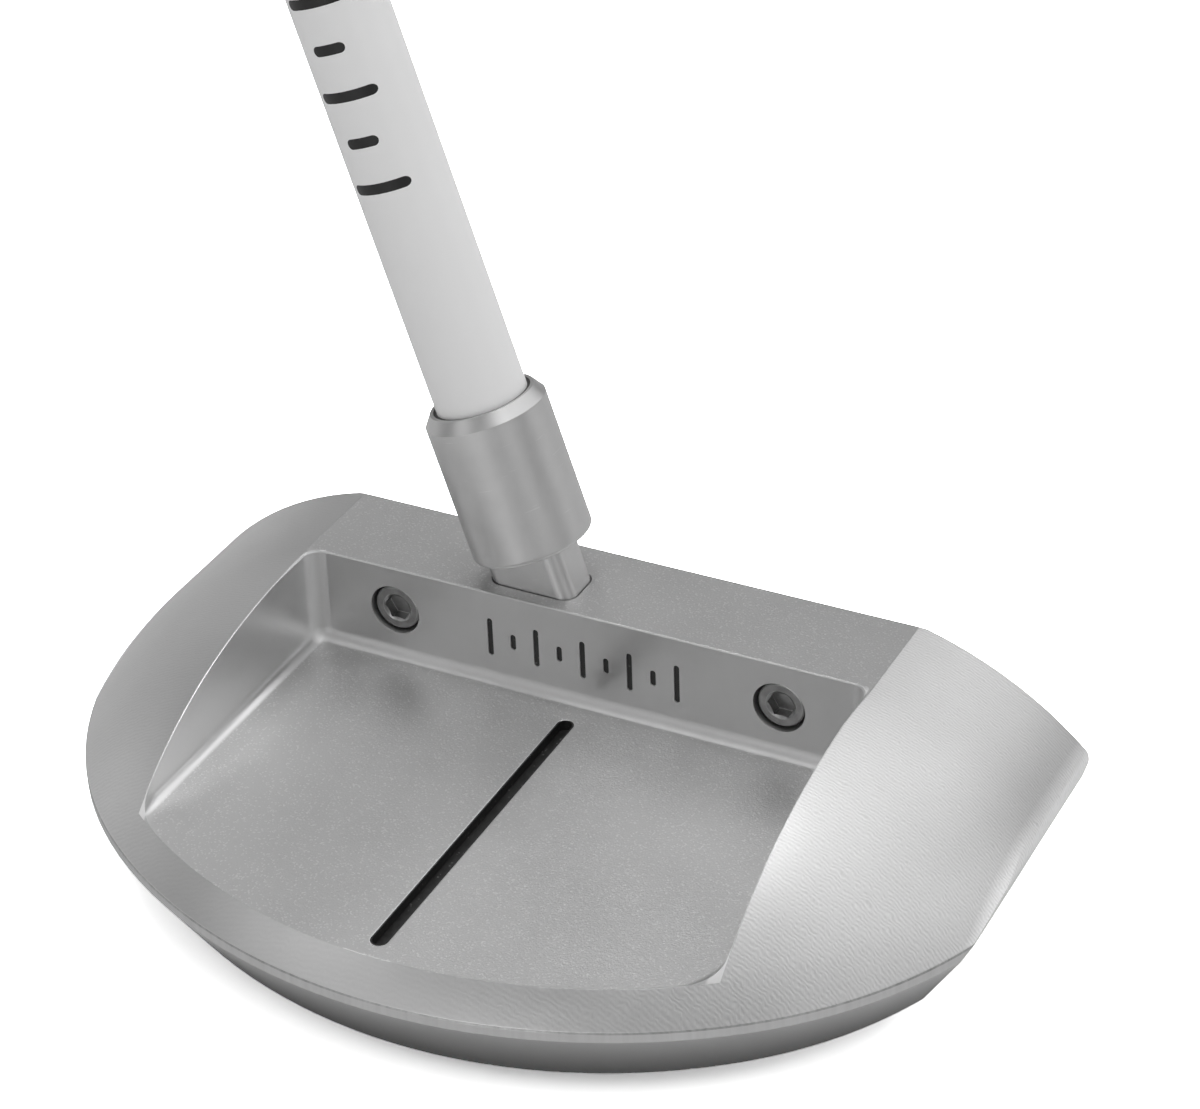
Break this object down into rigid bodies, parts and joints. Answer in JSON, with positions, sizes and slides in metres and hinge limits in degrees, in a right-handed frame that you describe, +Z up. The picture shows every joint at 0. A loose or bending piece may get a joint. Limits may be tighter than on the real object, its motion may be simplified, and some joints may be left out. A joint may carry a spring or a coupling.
{
  "type": "golf putter",
  "caption": "Half-moon mallet putter: milled head with a rear pocket and sight line, riser neck, painted shaft and rubber grip.",
  "frame": {"origin": "the centre of the small flat at the bottom of the crowned sole, where it touches the ground at address", "axes": "+Z up, -Y towards the target (the face side), +Y the back of the head, +X the heel, -X the toe"},
  "size_m": [0.3441, 0.0828, 0.8197],
  "materials": {
    "head_aluminium": "bead-blasted deck and floor, fine raster milling on the skirt",
    "insert_steel": "fly-milled arcs",
    "screw_steel": "turned, satin",
    "slot_black": "baked enamel paint, satin",
    "riser_steel": "fine turned satin",
    "epoxy_dark": "cured glue, satin",
    "shaft_white": "gloss white",
    "tape_paper": "matt adhesive tape",
    "underlisting_foam": "matt foam rubber",
    "grip_rubber": "matt tacky polymer with fine texture",
    "cap_plastic": "moulded satin plastic",
    "weight_steel": "turned, satin"
  },
  "bodies": {
    "root": {"head_body": "head_aluminium", "face_insert": "insert_steel", "face_screw_heel": "screw_steel", "face_screw_toe": "screw_steel", "slot_paint": "slot_black", "riser": "riser_steel", "riser_screw": "screw_steel", "shaft_epoxy": "epoxy_dark", "shaft": "shaft_white", "grip_tape": "tape_paper", "grip_underlisting": "underlisting_foam", "grip_skin": "grip_rubber", "grip_end_cap": "cap_plastic", "wall_mark_paint_1": "slot_black", "wall_mark_paint_2": "slot_black", "wall_mark_paint_3": "slot_black", "wall_mark_paint_4": "slot_black", "wall_mark_paint_5": "slot_black", "wall_mark_paint_6": "slot_black", "wall_mark_paint_7": "slot_black", "wall_mark_paint_8": "slot_black", "wall_mark_paint_9": "slot_black", "sole_weight_1": "weight_steel", "sole_weight_2": "weight_steel", "sole_weight_3": "weight_steel", "sole_weight_4": "weight_steel", "sole_weight_5": "weight_steel", "sole_weight_6": "weight_steel"}
  },
  "joints": []
}
